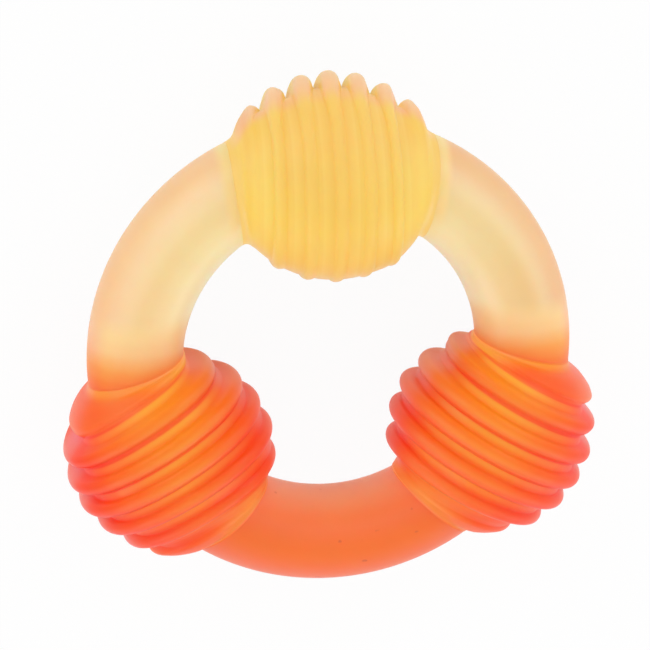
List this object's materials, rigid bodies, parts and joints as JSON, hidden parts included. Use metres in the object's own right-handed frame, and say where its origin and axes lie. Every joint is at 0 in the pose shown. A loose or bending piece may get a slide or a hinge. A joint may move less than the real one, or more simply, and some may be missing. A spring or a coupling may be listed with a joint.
{
  "type": "ring chew toy",
  "caption": "Rubber chew ring: a round tube bent into a ring, with ribbed balls spaced evenly round it.",
  "frame": {"origin": "centre of the ring, on the middle plane of the tube", "axes": "+Z along the ring's axis, square to the ring; +Y from the ring's centre towards the yellow ball; +X completes the right-handed frame, towards the right-hand tube"},
  "size_m": [0.1238, 0.122, 0.048],
  "materials": {
    "deep_yellow_rubber": "frosted, translucent",
    "pale_yellow_rubber": "frosted, translucent",
    "red_orange_rubber": "frosted, translucent",
    "salmon_rubber": "frosted, translucent"
  },
  "bodies": {
    "root": {"top_ball": "deep_yellow_rubber", "left_ball": "red_orange_rubber", "right_ball": "red_orange_rubber", "left_tube": "pale_yellow_rubber", "right_tube": "pale_yellow_rubber", "bottom_tube": "salmon_rubber"}
  },
  "joints": []
}
